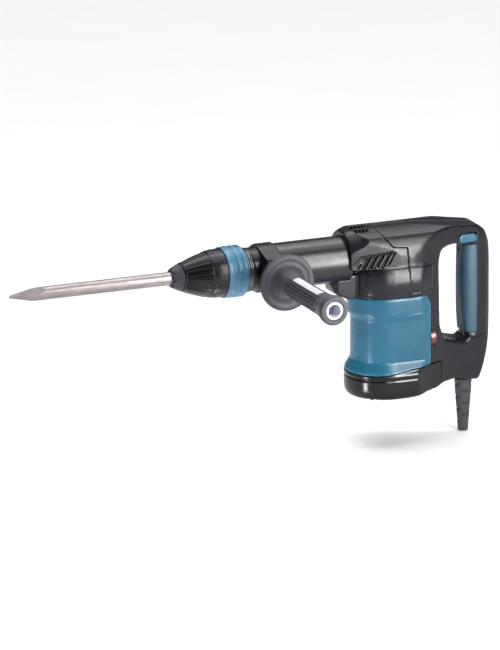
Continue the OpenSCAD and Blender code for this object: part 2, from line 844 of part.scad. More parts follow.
module handle_shape() {
  difference() {
    intersection() {
      side_plate(arm_side, -60, 60);
      union() {
        intersection() {
          skin_z(-60, 60);
          section_bar(mirror_profile(crown), 280, 470);
        }
        intersection() {
          d_body(cover_profile(), 384);
          block(325, 384, -60, 60, -60, -9);
          plan_plate(flip(low_outline), -60, 0);
        }
        plan_plate(flip(low_outline), -200, -55);
      }
    }
    side_plate(finger_gap, -60, 60);
    difference() {
      block(410, 480, -60, 60, -124, 5);
      grip_column(1, 0);
    }
  }
}
module handle_pocket() {
  side_plate(fillet_points([[300, 38, 0], [385, 38, 0], [430, 32, 6], [448, 20, 6],
    [450, 13.4, 2], [378, 13.4, 8], [376, -10, 0], [374, -44, 4], [340, -44, 0], [337, 14, 0],
    [318, 17, 0], [309, 26, 0], [296, 39, 0]]), -38, 38);
  side_plate(fillet_points([[372, -134, 2], [408, -136, 6], [434, -137.4, 0], [455, -137.4, 2],
    [454, -150, 0], [447, -178, 4], [421, -175, 0], [400, -172, 0], [372, -172, 2]]), -38, 38);
  block(432.6, 455.4, -9.4, 9.4, -34.4, 15);
  translate([447, 0, 0])
    rod_z(wire_hole_r, -140, 15);
}
module handle_body() {
  difference() {
    handle_shape();
    intersection() {
      handle_pocket();
      plan_plate(flip([[296, -40], [338, -43], [352, -41.8], [366, -38], [380, -33.2],
        [392, -28.4], [404, -24.4], [416, -21], [429, -18.4], [429, -14], [434, -13.8],
        [446, -13.6], [456, -11], [462, -4], [462, 0]]), -200, 60);
      section_bar([[-44, -200], [-44, 6], [-40, 20], [-36, 27], [-28, 32], [-14, 36.5],
        [14, 36.5], [28, 32], [36, 27], [40, 20], [44, 6], [44, -200]], 280, 480);
    }
    block(414.6, 442.9, -30, 30, 7.7, 21.3);
    translate([boot_x, 0, 0])
      rod_z(12.2, -177.6, -170);
    translate([boot_x, 0, 0])
      rod_z(9.3, -200, -176);
    translate([dial_x, dial_y, dial_z])
      rod_x(14, -3.8, 3.8);
    for (p = handle_screw_spots)
      translate([p[0], 0, p[1]])
        rod_y(4.2, p[2] - 3, 60);
  }
}
handle_screw_spots = [[350, 24, 36], [431, 28, 13], [449, -144, 9], [392, -150, 23],
  [374, -66, 31]];
module handle_left() {
  color(charcoal)
    intersection() {
      handle_body();
      block(280, 480, -80, -0.02, -220, 80);
    }
}
module handle_right() {
  color(charcoal)
    intersection() {
      handle_body();
      block(280, 480, 0.02, 80, -220, 80);
    }
}
module handle_screws() {
  color(steel)
    for (p = handle_screw_spots)
      translate([p[0], 0, p[1]])
        difference() {
          rod_y(4.1, p[2] - 2.9, p[2] + 0.4);
          translate([0, p[2] + 1, 0])
            rotate([90, 0, 0])
              cylinder(r = 1.9, h = 2.6, $fn = 6);
        }
}
module soft_grip() {
  color(teal)
    difference() {
      intersection() {
        plan_plate(flip([[424.2, 0], [424.8, -6.4], [427, -12], [431, -16], [436, -18.1],
          [441.4, -18.8], [444.4, -18.4], [445.2, -17.6]]), -119.6, 4.6);
        side_plate(fillet_points([[425.8, 4.6, 3], [448, 4.6, 3], [447, -60, 0],
          [445, -119.6, 3], [428.6, -119.6, 1], [427.1, -102, 0], [425, -72, 0],
          [424.2, -56, 0], [424.2, -40, 0]]), -60, 60);
      }
      grip_column(1.004, 0.02);
    }
}
module switch_lever() {
  color(teal)
    intersection() {
      block(415.4, 442.1, -23.4, 16.6, 8.4, 20.6);
      union() {
        for (x = [421.5, 436])
          translate([x, 0, 14.5])
            rod_y(6.05, -23.4, 16.6);
        block(421.5, 436, -23.4, 16.6, 8.5, 20.5);
      }
    }
}
module switch_body() {
  color(black)
    difference() {
      block(433, 455, -9, 9, -34, 5.6);
      block(438, 443, -10, 10, -30, -24);
    }
}
module speed_dial() {
  color(red)
    translate([dial_x, dial_y, dial_z])
      difference() {
        rod_x(13, -3.4, 3.4);
        for (k = [0:23])
          rotate([k * 15, 0, 0])
            translate([-4, -0.6, 12.1])
              cube([8, 1.2, 2]);
        rod_x(3, -5, 5);
      }
}
module speed_controller() {
  color(black)
    block(398, 436, -12, 12, -166, -138);
}
module cord_guard() {
  color(rubber)
    translate([boot_x, 0, 0])
      difference() {
        union() {
          lathe_z([[0, -259], [7.2, -259], [8, -245], [11.4, -200], [12, -187.4], [11.6, -186.2],
            [9, -186.2], [9, -177.3], [12, -177.3], [12, -173.3], [0, -173.3]]);
        }
        rod_z(cord_bore_radius, -260, -188);
        rod_z(cord_bore_radius + 0.6, -188, -170);
        for (k = [0:4])
          for (s = [-1, 1])
            block(-4, 4, s > 0 ? 6.6 : -14, s > 0 ? 14 : -6.6, -246 + k * 9, -242 + k * 9);
      }
}
module cord_clamp() {
  color(black)
    difference() {
      block(boot_x - 10, boot_x + 12, -10, 10, -173, -167);
      translate([boot_x, 0, 0])
        rod_z(4.2, -180, -160);
    }
}

bull_point_bit();
nose_cap();
release_cover();
roller_ring();
release_spring();
change_ring();
tool_holder();
lock_rollers();
spring_seat();
front_ring();
barrel();
handle_band();
band_bolt();
grip_arm();
clamp_nut();
grip_core();
grip_sleeve();
grip_label();
impact_bolt();
striker();
striker_ring();
cylinder_node();  // cylinder
piston();
piston_ring();
wrist_pin();
connecting_rod();
crank_shaft();
crank_gear();
crank_bearings();
crank_case();
crank_cover();
motor_housing();
stator();
stator_coils();
armature_core();
armature_windings();
commutator();
motor_shaft();
fan();
motor_bearings();
brush_holders();
carbon_brushes();
base_cover();
base_screws();
handle_left();
handle_right();
handle_screws();
soft_grip();
switch_lever();
switch_body();
speed_dial();
speed_controller();
cord_guard();
cord_clamp();
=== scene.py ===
"""Looks of the demolition hammer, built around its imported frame.

Everything is in the part's frame: +X runs back along the barrel, -Y is the side grip's side, and
+Z is up. Shapes are written in millimetres and turned into metres by MM.
"""

import json
import math

import bpy
import numpy as np
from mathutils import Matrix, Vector
from mathutils.bvhtree import BVHTree

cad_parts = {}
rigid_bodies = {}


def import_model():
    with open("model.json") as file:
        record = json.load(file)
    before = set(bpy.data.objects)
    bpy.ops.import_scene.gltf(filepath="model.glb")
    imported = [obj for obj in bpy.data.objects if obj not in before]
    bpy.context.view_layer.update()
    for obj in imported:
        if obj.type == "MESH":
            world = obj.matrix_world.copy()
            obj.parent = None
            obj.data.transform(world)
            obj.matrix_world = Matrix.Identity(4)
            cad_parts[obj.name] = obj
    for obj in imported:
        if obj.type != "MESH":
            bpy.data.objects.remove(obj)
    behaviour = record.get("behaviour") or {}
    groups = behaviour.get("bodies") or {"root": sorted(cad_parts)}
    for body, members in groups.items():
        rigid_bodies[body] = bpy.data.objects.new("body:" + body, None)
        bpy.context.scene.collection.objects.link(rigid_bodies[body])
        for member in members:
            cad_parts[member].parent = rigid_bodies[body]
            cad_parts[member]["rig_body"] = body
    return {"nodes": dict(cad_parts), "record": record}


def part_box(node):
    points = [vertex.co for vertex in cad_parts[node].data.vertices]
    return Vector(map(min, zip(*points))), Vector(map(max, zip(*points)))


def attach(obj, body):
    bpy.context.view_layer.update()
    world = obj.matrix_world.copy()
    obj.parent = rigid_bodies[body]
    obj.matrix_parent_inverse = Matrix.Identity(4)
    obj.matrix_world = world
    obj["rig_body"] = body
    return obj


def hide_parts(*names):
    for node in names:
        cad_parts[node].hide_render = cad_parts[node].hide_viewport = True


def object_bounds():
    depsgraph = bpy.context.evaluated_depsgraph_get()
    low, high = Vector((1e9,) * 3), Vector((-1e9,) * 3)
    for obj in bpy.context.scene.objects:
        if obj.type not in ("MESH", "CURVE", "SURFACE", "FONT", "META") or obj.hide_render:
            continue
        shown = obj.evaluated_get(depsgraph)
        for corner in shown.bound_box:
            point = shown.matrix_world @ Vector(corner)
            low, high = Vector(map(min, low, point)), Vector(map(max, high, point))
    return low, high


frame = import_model()
cad_low, cad_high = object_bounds()
MM = 0.001
TAU = 2 * math.pi
CAD_SHARP, NEW_SHARP, SHELL_SHARP = 32, 40, 60  # an edge over that many degrees stays sharp


# ---- small helpers ----

def srgb(red, green, blue):
    """Linear colour of an 8-bit display colour."""
    def linear(v):
        v = v / 255
        return v / 12.92 if v <= 0.04045 else ((v + 0.055) / 1.055) ** 2.4
    return (linear(red), linear(green), linear(blue))


def box_mm(node):
    """Lowest and highest corner of a CAD node in millimetres."""
    low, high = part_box(node)
    return np.array(low) / MM, np.array(high) / MM


def smooth(edge0, edge1, x):
    """0 before edge0, 1 after edge1, and a soft step between."""
    t = np.clip((np.asarray(x, float) - edge0) / (edge1 - edge0), 0, 1)
    return t * t * (3 - 2 * t)


def inside(x, low, high, soft):
    """1 between low and high, falling to 0 over soft outside them."""
    return smooth(low - soft, low, x) * (1 - smooth(high, high + soft, x))


def link(obj):
    """Puts an object in the scene."""
    bpy.context.scene.collection.objects.link(obj)
    return obj


def mesh_object(name, points, faces):
    """A new smooth-shaded mesh object from points in millimetres."""
    mesh = bpy.data.meshes.new(name)
    mesh.from_pydata((np.asarray(points) * MM).tolist(), [], faces)
    mesh.validate()
    shade(mesh, NEW_SHARP)
    return link(bpy.data.objects.new(name, mesh))


def shade(mesh, sharp):
    """Smooth shading that keeps edges over that many degrees."""
    mesh.polygons.foreach_set("use_smooth", np.ones(len(mesh.polygons), bool))
    mesh.set_sharp_from_angle(angle=math.radians(sharp))


# ---- materials ----

class Finish:
    """A procedural material on object coordinates, with sizes in millimetres."""

    def __init__(self, name, colour, roughness, **sockets):
        self.material = bpy.data.materials.new(name)
        self.material.use_nodes = True
        self.nodes = self.material.node_tree.nodes
        self.links = self.material.node_tree.links
        self.shader = self.nodes["Principled BSDF"]
        self.shader.inputs["Base Color"].default_value = (*colour, 1)
        self.shader.inputs["Roughness"].default_value = roughness
        for socket, value in sockets.items():
            self.shader.inputs[socket.replace("_", " ")].default_value = value
        self.colour = colour
        self.place = self.nodes.new("ShaderNodeTexCoord").outputs["Object"]
        self.normal = None

    def connect(self, source, target):
        """Joins an output to an input."""
        self.links.new(source, target)

    def stretched(self, scale):
        """Object coordinates in millimetres, divided by a size along each axis."""
        mapping = self.nodes.new("ShaderNodeMapping")
        mapping.inputs["Scale"].default_value = [1 / (s * MM) for s in scale]
        self.connect(self.place, mapping.inputs["Vector"])
        return mapping.outputs["Vector"]

    def noise(self, size, detail=3, roughness=0.55):
        """Cloudy noise whose blobs are size millimetres, or size along each axis."""
        scale = size if isinstance(size, tuple) else (size, size, size)
        node = self.nodes.new("ShaderNodeTexNoise")
        node.inputs["Scale"].default_value = 1
        node.inputs["Detail"].default_value = detail
        node.inputs["Roughness"].default_value = roughness
        self.connect(self.stretched(scale), node.inputs["Vector"])
        return node.outputs["Fac"]

    def cells(self, size, feature="F1"):
        """Distance to the nearest of points that are size millimetres apart."""
        node = self.nodes.new("ShaderNodeTexVoronoi")
        node.feature = feature
        node.inputs["Scale"].default_value = 1
        self.connect(self.stretched((size, size, size)), node.inputs["Vector"])
        return node.outputs["Distance"]

    def recess_shade(self):
        """The painted shade in a moulded relief, from 0 on its face to 1 in its wells."""
        node = self.nodes.new("ShaderNodeAttribute")
        node.attribute_name = "recess_shade"
        return node.outputs["Fac"]

    def ridge(self):
        """How convex the surface is, from 0 in a corner to 1 on an edge."""
        node = self.nodes.new("ShaderNodeNewGeometry")
        return self.spread(node.outputs["Pointiness"], 0, 1, 0.46, 0.56)

    def spread(self, source, low, high, source_low=0.3, source_high=0.7):
        """source, mapped from its own range to low to high, and clamped."""
        node = self.nodes.new("ShaderNodeMapRange")
        for socket, value in (("From Min", source_low), ("From Max", source_high),
                              ("To Min", low), ("To Max", high)):
            node.inputs[socket].default_value = value
        self.connect(source, node.inputs["Value"])
        return node.outputs["Result"]

    def tint(self, source, colour, most=1.0, source_low=0.4, source_high=0.7):
        """Mixes colour over the base colour where source is high."""
        node = self.nodes.new("ShaderNodeMix")
        node.data_type = "RGBA"
        base = self.shader.inputs["Base Color"]
        self.connect(self.spread(source, 0, most, source_low, source_high), node.inputs["Factor"])
        if base.is_linked:
            self.connect(base.links[0].from_socket, node.inputs["A"])
        else:
            node.inputs["A"].default_value = (*self.colour, 1)
        node.inputs["B"].default_value = (*colour, 1)
        self.connect(node.outputs["Result"], base)
        return self

    def rough(self, source, low, high, source_low=0.3, source_high=0.7):
        """Roughness that follows source."""
        self.connect(self.spread(source, low, high, source_low, source_high),
                     self.shader.inputs["Roughness"])
        return self

    def bump(self, source, height):
        """Relief of that many millimetres, added to the bumps before it."""
        node = self.nodes.new("ShaderNodeBump")
        node.inputs["Strength"].default_value = 1
        node.inputs["Distance"].default_value = height * MM
        self.connect(source, node.inputs["Height"])
        if self.normal is not None:
            self.connect(self.normal, node.inputs["Normal"])
        self.normal = node.outputs["Normal"]
        self.connect(self.normal, self.shader.inputs["Normal"])
        return self


def scaled(colour, factor):
    """A colour made that many times as bright."""
    return tuple(c * factor for c in colour)


def moulded(name, colour, low, high, grain, specular=0.5):
    """Moulded plastic: spark-eroded grain, flow clouds, paler rubbed edges, painted shade in wells.
    """
    finish = Finish(name, colour, (low + high) / 2, Specular_IOR_Level=specular)
    finish.tint(finish.noise(34, 3), scaled(colour, 0.8), 0.8)
    finish.tint(finish.noise(0.45, 1), scaled(colour, 1.3), 0.4, 0.5, 0.75)
    finish.tint(finish.ridge(), scaled(colour, 1.7), 0.5, 0.35, 1.0)
    # painted shade: reliefs darken with their depth
    finish.tint(finish.recess_shade(), scaled(colour, 0.3), 0.85, 0.0, 1.0)
    finish.rough(finish.noise(9, 4), low, high)
    finish.bump(finish.noise(2.2, 2), grain * 0.6)
    finish.bump(finish.cells(0.8, "SMOOTH_F1"), grain)
    return finish.material


def rubbery(name, colour, low, high):
    """Soft moulding: matte stipple, a dusty bloom, a faint sheen and painted shade in wells."""
    grain = 0.09
    finish = Finish(name, colour, (low + high) / 2, Sheen_Weight=0.1, Sheen_Roughness=0.5,
                    Specular_IOR_Level=0.4)
    finish.tint(finish.noise(14, 4), scaled(colour, 1.35), 0.5)
    finish.tint(finish.noise(0.7, 2), scaled(colour, 0.7), 0.5, 0.5, 0.7)
    finish.tint(finish.ridge(), scaled(colour, 1.7), 0.4, 0.35, 1.0)
    # painted shade: reliefs darken with their depth
    finish.tint(finish.recess_shade(), scaled(colour, 0.5), 0.8, 0.0, 1.0)
    finish.rough(finish.noise(5, 4), low, high)
    finish.bump(finish.cells(1.1, "SMOOTH_F1"), grain)
    finish.bump(finish.noise(0.5, 2), grain * 0.4)
    return finish.material


def ground_steel(name, colour, low, high, stretch):
    """Metal with grinding lines stretched along one axis, oily clouds and fine pits."""
    finish = Finish(name, colour, (low + high) / 2, Metallic=1.0)
    lines = finish.noise(stretch, 3, 0.7)
    finish.tint(lines, scaled(colour, 0.72), 0.6)
    finish.tint(finish.noise(16, 5), scaled(colour, 0.8), 0.55)
    finish.tint(finish.noise(1.1, 3), scaled(colour, 0.5), 0.5, 0.62, 0.72)
    finish.rough(finish.noise(7, 5), low, high)
    finish.bump(lines, 0.012)
    return finish.material


def cast_metal(name, colour, low, high, metallic=1.0):
    """Cast surface: grainy skin with soft waves."""
    finish = Finish(name, colour, (low + high) / 2, Metallic=metallic)
    finish.tint(finish.noise(9, 4), scaled(colour, 0.75), 0.6)
    finish.rough(finish.noise(4, 4), low, high)
    finish.bump(finish.noise(3.5, 3), 0.08)
    finish.bump(finish.cells(0.6), 0.05)
    return finish.material


def painted_barrel(name):
    """Dark satin paint over turned metal: soft clouds, fine flake and faint turning rings."""
    colour = srgb(24, 24, 31)
    finish = Finish(name, colour, 0.3, Specular_IOR_Level=0.4)
    finish.tint(finish.noise(40, 3), scaled(colour, 0.8), 0.7)
    finish.tint(finish.noise(0.35, 1), scaled(colour, 1.5), 0.35, 0.6, 0.75)
    finish.rough(finish.noise((14, 5, 5), 4), 0.25, 0.33)
    finish.bump(finish.noise((0.5, 60, 60), 2), 0.005)
    return finish.material


def bit_metal(name):
    """Forged and ground bit steel: pale, with lines along the shaft and darker clouds and flecks.
    """
    colour = srgb(146, 139, 139)
    finish = Finish(name, colour, 0.4, Metallic=0.85)
    lines = finish.noise((26, 0.7, 0.7), 4, 0.7)
    finish.tint(lines, srgb(106, 100, 100), 0.6)
    finish.tint(finish.noise((18, 6, 6), 5), srgb(116, 110, 110), 0.7)
    finish.tint(finish.noise(0.8, 3), srgb(92, 84, 80), 0.6, 0.64, 0.74)
    finish.rough(finish.noise((9, 3, 3), 5), 0.3, 0.5)
    finish.bump(lines, 0.02)
    finish.bump(finish.noise(2.5, 4), 0.03)
    return finish.material


def laminations(name):
    """Stacked sheets: thin dark lines across the stack."""
    colour = (0.2, 0.2, 0.21)
    finish = Finish(name, colour, 0.5, Metallic=0.8)
    sheets = finish.noise((60, 60, 0.5), 1)
    finish.tint(sheets, (0.05, 0.05, 0.05), 0.8)
    finish.bump(sheets, 0.05)
    return finish.material


def winding(name):
    """Enamelled wire lying side by side."""
    colour = (0.42, 0.13, 0.04)
    finish = Finish(name, colour, 0.35, Metallic=0.7, Coat_Weight=0.5)
    wires = finish.noise((0.9, 0.9, 30), 1)
    finish.tint(wires, (0.12, 0.03, 0.01), 0.8)
    finish.bump(wires, 0.2)
    return finish.material


def glossy_red(name):
    """Hard glossy red: slightly uneven dye and a fine orange peel."""
    colour = srgb(122, 36, 32)
    finish = Finish(name, colour, 0.3, Coat_Weight=0.3, Coat_Roughness=0.15)
    finish.tint(finish.noise(5, 3), srgb(92, 22, 20), 0.8)
    finish.rough(finish.noise(3, 3), 0.24, 0.4)
    finish.bump(finish.noise(0.6, 2), 0.03)
    return finish.material


def white_tube(name):
    """Milky nylon: faint blue-grey clouds and moulding grain."""
    colour = srgb(232, 233, 242)
    finish = Finish(name, colour, 0.42, Subsurface_Weight=0.08, Subsurface_Scale=0.002)
    finish.tint(finish.noise(11, 3), srgb(206, 208, 222), 0.7)
    finish.rough(finish.noise(4, 3), 0.36, 0.52)
    finish.bump(finish.noise(1.2, 2), 0.03)
    return finish.material


def label_film(name):
    """Blank printed film: paper-white with a slight fibre and satin laminate."""
    colour = srgb(206, 208, 214)
    finish = Finish(name, colour, 0.35, Coat_Weight=0.2)
    finish.tint(finish.noise((0.8, 5, 0.8), 3), srgb(196, 199, 208), 0.6)
    finish.tint(finish.noise(9, 2), srgb(212, 214, 222), 0.6)
    finish.rough(finish.noise(6, 3), 0.28, 0.45)
    finish.bump(finish.noise(1.6, 2), 0.02)
    return finish.material


CHARCOAL = srgb(25, 25, 32)
TEAL = srgb(34, 95, 121)
FINISHES = {
    "charcoal_plastic": moulded("charcoal_plastic", CHARCOAL, 0.24, 0.32, 0.01, 0.25),
    "black_plastic": moulded("black_plastic", srgb(18, 18, 22), 0.15, 0.2, 0.003, 0.25),
    "teal_plastic": moulded("teal_plastic", TEAL, 0.26, 0.33, 0.003, 0.28),
    "ring_teal": moulded("ring_teal", srgb(58, 112, 140), 0.32, 0.42, 0.012),
    "teal_rubber": rubbery("teal_rubber", srgb(34, 76, 97), 0.5, 0.62),
    "black_rubber": rubbery("black_rubber", srgb(52, 52, 62), 0.5, 0.62),
    "red_plastic": glossy_red("red_plastic"),
    "white_plastic": white_tube("white_plastic"),
    "label_film": label_film("label_film"),
    "bit_steel": bit_metal("bit_steel"),
    "bright_steel": ground_steel("bright_steel", (0.55, 0.54, 0.54), 0.2, 0.34, (0.5, 30, 30)),
    "dark_steel": ground_steel("dark_steel", (0.2, 0.2, 0.21), 0.34, 0.5, (0.6, 12, 12)),
    "cast_aluminium": cast_metal("cast_aluminium", (0.42, 0.42, 0.43), 0.4, 0.55),
    "barrel_metal": painted_barrel("barrel_metal"),
    "laminated_steel": laminations("laminated_steel"),
    "copper_wire": winding("copper_wire"),
    "brass": cast_metal("brass", (0.6, 0.42, 0.17), 0.3, 0.42),
    "carbon": cast_metal("carbon", (0.02, 0.02, 0.02), 0.6, 0.75, 0.0),
}
SLOT_OF = {row["node"]: row["material_slot"] for row in frame["record"]["subparts"]}
BODY_OF = {node: obj["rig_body"] for node, obj in frame["nodes"].items()}


def dress(obj, slot):
    """Gives a piece one record slot's finish."""
    obj.data.materials.clear()
    obj.data.materials.append(FINISHES[slot])


def dress_cad():
    """Every CAD node gets its slot's finish and soft shading."""
    for node, obj in frame["nodes"].items():
        dress(obj, SLOT_OF[node])
        shade(obj.data, CAD_SHARP)


def stand_for(piece, node, slot=None):
    """A finished piece takes the place of a CAD node, on its body and in its slot, or in slot."""
    slot = slot or SLOT_OF[node]
    dress(piece, slot)
    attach(piece, BODY_OF[node])
    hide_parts(node)


# ---- turned pieces ----

INNER_STEP = 4.0    # millimetres between a turned piece's points inside its core radius
FULL_SHADE_DEPTH = 0.8   # depth in millimetres at which a turned relief's painted shade is as dark as it gets
AXES = {            # directions along the axis, at angle 0, and at angle 90 degrees
    "+x": ((1, 0, 0), (0, 1, 0), (0, 0, 1)),
    "-y": ((0, -1, 0), (1, 0, 0), (0, 0, 1)),
    "-z": ((0, 0, -1), (1, 0, 0), (0, -1, 0)),
}


def rounded(outline):
    """A closed outline of (along, radius, fillet) as points, with an arc in filleted corners."""
    points = []
    count = len(outline)
    for i, (s, r, fillet) in enumerate(outline):
        corner = np.array((s, r), float)
        if fillet <= 0:
            points.append(corner)
            continue
        back = np.array(outline[i - 1][:2]) - corner
        ahead = np.array(outline[(i + 1) % count][:2]) - corner
        reach = min(fillet, 0.45 * np.linalg.norm(back), 0.45 * np.linalg.norm(ahead))
        start = corner + back / np.linalg.norm(back) * reach
        end = corner + ahead / np.linalg.norm(ahead) * reach
        for t in np.linspace(0, 1, 5):
            points.append((1 - t) ** 2 * start + 2 * t * (1 - t) * corner + t * t * end)
    return np.array(points)


def resampled(points, step):
    """The closed outline with no stretch longer than step(point)."""
    result = []
    for a, b in zip(points, np.roll(points, -1, axis=0)):
        parts = max(1, math.ceil(np.linalg.norm(b - a) / step((a + b) / 2)))
        result += [a + (b - a) * k / parts for k in range(parts)]
    return np.array(result)


def turned(name, outline, axis, centre, relief, around, fine, core):
    """A closed lathe mesh, with points every fine millimetres outside radius core.

    relief(along, angle) is cut along the outline's normal, and only outside core.
    """
    points = resampled(rounded(outline), lambda p: fine if p[1] > core else INNER_STEP)
    ahead = np.roll(points, -1, axis=0) - np.roll(points, 1, axis=0)
    normals = np.stack([-ahead[:, 1], ahead[:, 0]], 1)
    normals /= np.linalg.norm(normals, axis=1)[:, None] + 1e-12
    s_line, r_line = points.T
    area = np.sum(s_line * np.roll(r_line, -1) - np.roll(s_line, -1) * r_line)
    if area > 0:
        normals = -normals
    angle = np.arange(around) * TAU / around
    s = np.repeat(points[:, :1], around, 1)
    r = np.repeat(points[:, 1:], around, 1)
    depth = np.zeros_like(s)
    if relief is not None:
        depth = relief(s, np.broadcast_to(angle, s.shape)) * (points[:, 1:] > core)
        s = s - depth * normals[:, :1]
        r = r - depth * normals[:, 1:]
    along, side, up = (np.array(v, float) for v in AXES[axis])
    spoke = np.cos(angle)[:, None] * side + np.sin(angle)[:, None] * up
    co = np.array(centre, float) + s[..., None] * along + r[..., None] * spoke[None]
    rows, cols = s.shape
    i, j = np.meshgrid(np.arange(rows), np.arange(cols), indexing="ij")
    i2, j2 = (i + 1) % rows, (j + 1) % cols
    quads = np.stack([i * cols + j, i * cols + j2, i2 * cols + j2, i2 * cols + j], -1)
    quads = quads.reshape(-1, 4)
    if area < 0:
        quads = quads[:, ::-1]
    piece = mesh_object(name, co.reshape(-1, 3), quads.tolist())
    # painted shade: the relief's depth darkens the turned piece
    mark_recess_shade(piece.data, depth.ravel() / FULL_SHADE_DEPTH)
    return piece


def mark_recess_shade(mesh, values):
    """Stores how deep each point lies in a relief, which the materials turn into painted shade."""
    mesh.attributes.new("recess_shade", "FLOAT", "POINT").data.foreach_set(
        "value", np.clip(values, 0, 1).astype(np.float32))


def panels(angle, count, half_width, soft, offset=0.0):
    """Angle in degrees from the middle of the nearest of count panels, and 1 inside that panel."""
    pitch = 360 / count
    local = (np.degrees(angle) - offset + pitch / 2) % pitch - pitch / 2
    return local, 1 - smooth(half_width, half_width + soft, np.abs(local))


def make_nose_cap():
    """Rubber dust cap: notched rim, and a groove before the release cover."""
    low, high = box_mm("nose_cap")
    length, radius = high[0] - low[0], high[2]
    outline = [(0.3, 9.9, 0.6), (0, 12, 0.8), (0.8, 12.9, 0.8), (3.6, 14.2, 3), (8, 16.4, 3),
               (length - 3.4, 17.7, 1), (length - 2.8, 17.9, 0.3), (length - 2.4, 17.1, 0.3),
               (length - 1.7, 17.1, 0.3), (length - 1.3, radius - 0.1, 0.3), (length, radius, 0.3),
               (length, 13.7, 0), (6.2, 13.7, 0), (6.2, 10, 0)]

    def relief(s, angle):
        notch = panels(angle, count=8, half_width=7, soft=3)[1]
        ripple = 0.05 * np.cos(s * TAU / 1.7)
        return 1.1 * notch * (1 - smooth(2.0, 3.8, s)) + ripple
    piece = turned("dust_cap", outline, "+x", (low[0], 0, 0), relief, 240, 0.45, core=11.5)
    stand_for(piece, "nose_cap")


def make_release_cover():
    """Release cover: fluted panels between thin ribs, and a smooth rear band with a hook mark."""
    low, high = box_mm("release_cover")
    length, radius = high[0] - low[0], high[2]
    outline = [(0, 18.6, 0.4), (0.8, 19.6, 0.6), (10.6, 23.2, 8), (19.6, 26.4, 8), (28.6, 29.1, 8),
               (36.6, 31, 7), (42.6, 32.2, 5), (47.6, radius - 0.2, 4), (51.6, radius, 3),
               (length - 0.6, radius, 0.8), (length, radius - 0.6, 0.5), (length, radius - 3, 0),
               (45.6, radius - 3, 0), (38.6, 28.3, 0), (29.6, 25.6, 0), (19.6, 22.4, 0),
               (13.6, 20.4, 0), (13.6, 16.1, 0), (0, 16.1, 0)]
    panel_end = 0.62 * length
    flute_turn = 14.2

    def relief(s, angle):
        local, panel = panels(angle, count=8, half_width=21.3, soft=0.5, offset=14)
        ends = inside(s, 2.6, panel_end, 0.4)
        flutes = np.clip(np.cos(local * TAU / flute_turn), 0, 1) ** 3
        flutes = flutes * inside(s, 4, panel_end - 2, 2)
        cut = panel * ends * (0.85 - 0.3 * flutes)
        seat = 0.3 * inside(s, panel_end + 1.4, panel_end + 1.7, 0.4)
        return cut + seat + hook_mark(s - panel_end - 3.4, np.radians(local) * radius)
    piece = turned("chuck_cover", outline, "+x", (low[0], 0, 0), relief, 540, 0.4, core=18.2)
    stand_for(piece, "release_cover")


def hook_mark(s, across):
    """A small sunk bracket of s by across millimetres, behind the middle of each panel."""
    bar = inside(s, 5.2, 5.9, 0.4) * inside(across, -3.6, 3.6, 0.4)
    arms = inside(s, 0, 5.6, 0.4) * inside(np.abs(across), 2.9, 3.6, 0.4)
    return 0.5 * np.clip(bar + arms, 0, 1)


def make_change_ring():
    """Angle-setting ring: three round ribs with fine finger flutes."""
    low, high = box_mm("change_ring")
    length, r = high[0] - low[0], high[2]
    flute_count = 36
    outline = [(0, r - 1.6, 0.5), (0.9, r - 0.5, 1.2), (6.6, r - 0.5, 1.4), (8, r, 1),
               (10.4, r, 0.9), (11.8, r - 1.3, 0.6), (13.2, r - 1.3, 0.6), (14.6, r, 0.9),
               (19, r, 0.9),
               (20.4, r - 1.3, 0.6), (21.8, r - 1.3, 0.6), (23.2, r, 0.9), (27.2, r, 1.6),
               (29.4, r - 1.6, 1.6), (length, r - 4.4, 1), (length, 18.2, 0), (28, 15.95, 0),
               (18, 15.95, 0), (16, 18.2, 0), (16, 33.5, 0), (0, 33.5, 0)]

    def relief(s, angle):
        flutes = np.clip(np.cos(angle * flute_count), 0, 1) ** 3
        return 0.28 * flutes * inside(s, 15.5, 18, 0.8)
    piece = turned("angle_ring", outline, "+x", (low[0], 0, 0), relief, 288, 0.55, core=33.6)
    stand_for(piece, "change_ring")


def make_barrel():
    """Painted barrel: a narrower seat for the side grip's band, then the plain tube."""
    low, high = box_mm("barrel")
    length, r = high[0] - low[0], high[2]
    seat = 39.8
    outline = [(0, 22.1, 0), (0, 28, 0.6), (seat, 28, 0.4), (seat, r - 0.9, 0.5),
               (seat + 0.8, r, 0.8), (length, r, 0.3), (length, 22.7, 0), (26.2, 22.7, 0),
               (24.2, 22.1, 0)]
    piece = turned("barrel_tube", outline, "+x", (low[0], 0, 0), None, 256, 2.0, core=25)
    stand_for(piece, "barrel")


LABEL_ANGLE = 101    # degrees round the side grip to the middle of its label


